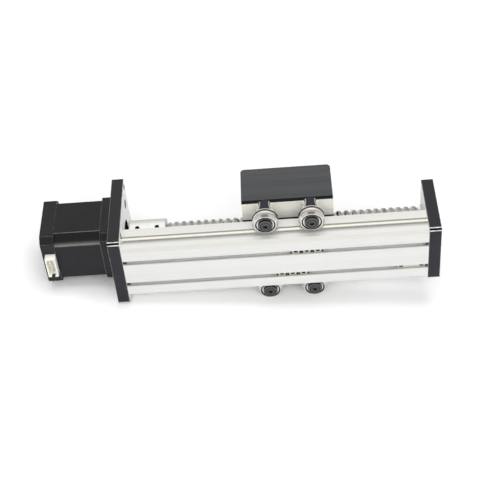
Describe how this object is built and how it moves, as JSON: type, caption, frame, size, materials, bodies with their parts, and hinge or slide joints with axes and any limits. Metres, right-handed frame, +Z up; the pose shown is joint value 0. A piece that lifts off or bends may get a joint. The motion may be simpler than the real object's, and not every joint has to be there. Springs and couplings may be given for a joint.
{
  "type": "ball screw linear stage",
  "caption": "Motor-driven ball screw linear stage: a black carriage on grooved rollers runs along rods let into an aluminium bed between two end plates.",
  "frame": {"origin": "middle of the bed's underside", "axes": "+X along the travel from the motor to the tail plate, +Z up from the bed to the carriage's top"},
  "size_m": [0.263, 0.0782, 0.063],
  "materials": {
    "clear_aluminium": "satin clear anodised",
    "coupling_aluminium": "turned, satin",
    "black_anodised": "satin black anodised, bare on its milled faces",
    "motor_black": "satin black",
    "stack_black": "matte black paint on steel sheets",
    "rail_steel": "ground and polished",
    "roller_steel": "polished",
    "spacer_oxide": "polished black oxide",
    "shield_steel": "satin",
    "bearing_steel": "ground",
    "screw_steel": "rolled and polished",
    "nut_steel": "ground",
    "rotor_steel": "bare sheet steel",
    "slot_nut_steel": "zinc plated",
    "black_oxide": "black oxide",
    "socket_nylon": "moulded cream",
    "pin_metal": "tinned",
    "wiper_plastic": "moulded"
  },
  "bodies": {
    "frame": {"base_profile": "clear_aluminium", "rail_rod_front": "rail_steel", "rail_rod_rear": "rail_steel", "slot_nuts_front": "slot_nut_steel", "slot_nuts_rear": "slot_nut_steel", "slot_nut_bar": "slot_nut_steel", "slot_stops": "wiper_plastic", "motor_plate": "black_anodised", "tail_plate": "black_anodised", "motor_plate_screws": "black_oxide", "tail_plate_screws": "black_oxide", "motor_flange": "motor_black", "motor_stator": "stack_black", "motor_rear_cap": "motor_black", "motor_mount_screws": "black_oxide", "motor_case_screws": "black_oxide", "motor_bearing_outers": "bearing_steel", "tail_bearing_outer": "bearing_steel", "motor_connector": "socket_nylon", "connector_pins": "pin_metal"},
    "screw": {"ball_screw": "screw_steel", "shaft_coupling": "coupling_aluminium", "coupling_set_screws": "black_oxide", "motor_shaft": "screw_steel", "motor_rotor": "rotor_steel", "motor_bearing_inners": "bearing_steel", "tail_bearing_inner": "bearing_steel"},
    "carriage": {"carriage_block": "black_anodised", "ball_nut": "nut_steel", "nut_wipers": "wiper_plastic", "nut_lock_screws": "black_oxide", "concentric_spacers": "spacer_oxide", "eccentric_spacers": "spacer_oxide", "roller_screws": "black_oxide", "roller_inner_rings": "bearing_steel"},
    "roller_rear_tail": {"roller_ring_rear_tail": "roller_steel", "roller_shields_rear_tail": "shield_steel"},
    "roller_front_tail": {"roller_ring_front_tail": "roller_steel", "roller_shields_front_tail": "shield_steel"},
    "roller_rear_motor": {"roller_ring_rear_motor": "roller_steel", "roller_shields_rear_motor": "shield_steel"},
    "roller_front_motor": {"roller_ring_front_motor": "roller_steel", "roller_shields_front_motor": "shield_steel"}
  },
  "joints": [
    {"name": "carriage_slide", "type": "slide", "parent": "frame", "child": "carriage", "axis": [1, 0, 0], "range_m": [-0.05, 0.05]},
    {"name": "screw_spin", "type": "hinge", "parent": "frame", "child": "screw", "pos_m": [0, 0, 0.036], "axis": [1, 0, 0], "range_deg": [-3610, 3610]},
    {"name": "roller_spin_rear_tail", "type": "hinge", "parent": "carriage", "child": "roller_rear_tail", "pos_m": [0.025, 0.0306, 0.0103], "axis": [0, 0, 1], "range_deg": [-375, 375]},
    {"name": "roller_spin_front_tail", "type": "hinge", "parent": "carriage", "child": "roller_front_tail", "pos_m": [0.025, -0.0306, 0.0103], "axis": [0, 0, 1], "range_deg": [-375, 375]},
    {"name": "roller_spin_rear_motor", "type": "hinge", "parent": "carriage", "child": "roller_rear_motor", "pos_m": [-0.005, 0.0306, 0.0103], "axis": [0, 0, 1], "range_deg": [-375, 375]},
    {"name": "roller_spin_front_motor", "type": "hinge", "parent": "carriage", "child": "roller_front_motor", "pos_m": [-0.005, -0.0306, 0.0103], "axis": [0, 0, 1], "range_deg": [-375, 375]}
  ],
  "couplings": [
    {"joint": "screw_spin", "follows": "carriage_slide", "rad_per_m": -1256.6},
    {"joint": "roller_spin_rear_tail", "follows": "carriage_slide", "rad_per_m": -129.87},
    {"joint": "roller_spin_front_tail", "follows": "carriage_slide", "rad_per_m": 129.87},
    {"joint": "roller_spin_rear_motor", "follows": "carriage_slide", "rad_per_m": -129.87},
    {"joint": "roller_spin_front_motor", "follows": "carriage_slide", "rad_per_m": 129.87}
  ]
}
